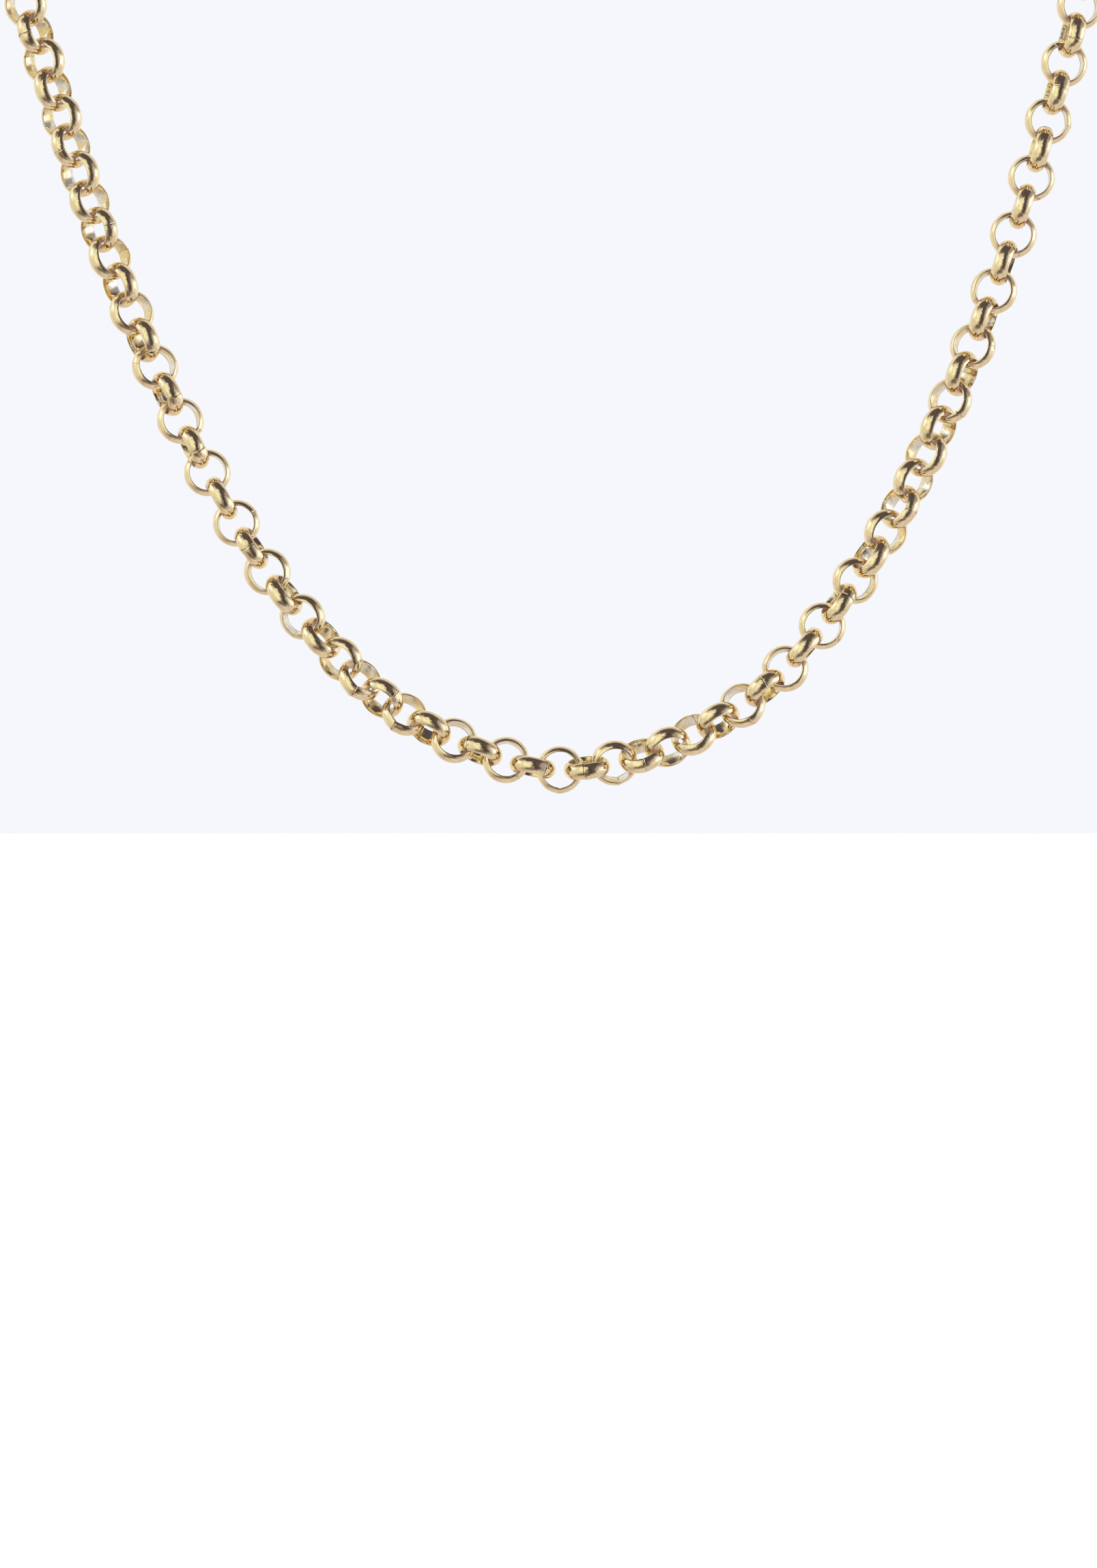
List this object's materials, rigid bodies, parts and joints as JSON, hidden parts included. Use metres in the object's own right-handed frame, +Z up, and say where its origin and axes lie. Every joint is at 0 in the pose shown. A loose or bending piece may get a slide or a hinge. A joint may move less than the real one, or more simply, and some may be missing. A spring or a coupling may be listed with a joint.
{
  "type": "rolo chain necklace",
  "caption": "Closed necklace of round, domed rolo links that hang in each other, shown as worn, with a plain bolt ring at the nape.",
  "frame": {"origin": "at the nape, in the middle of the clasp, where the necklace sits on the wearer's neck", "axes": "+X along the nape, +Y backwards out of the nape, +Z up; the U of the front lies at -Y and -Z"},
  "size_m": [0.1326, 0.095, 0.124],
  "materials": {
    "gold": "polished gold plating on brass"
  },
  "bodies": {
    "root": {"facing_links": "gold", "crossing_links": "gold", "clasp": "gold"}
  },
  "joints": []
}
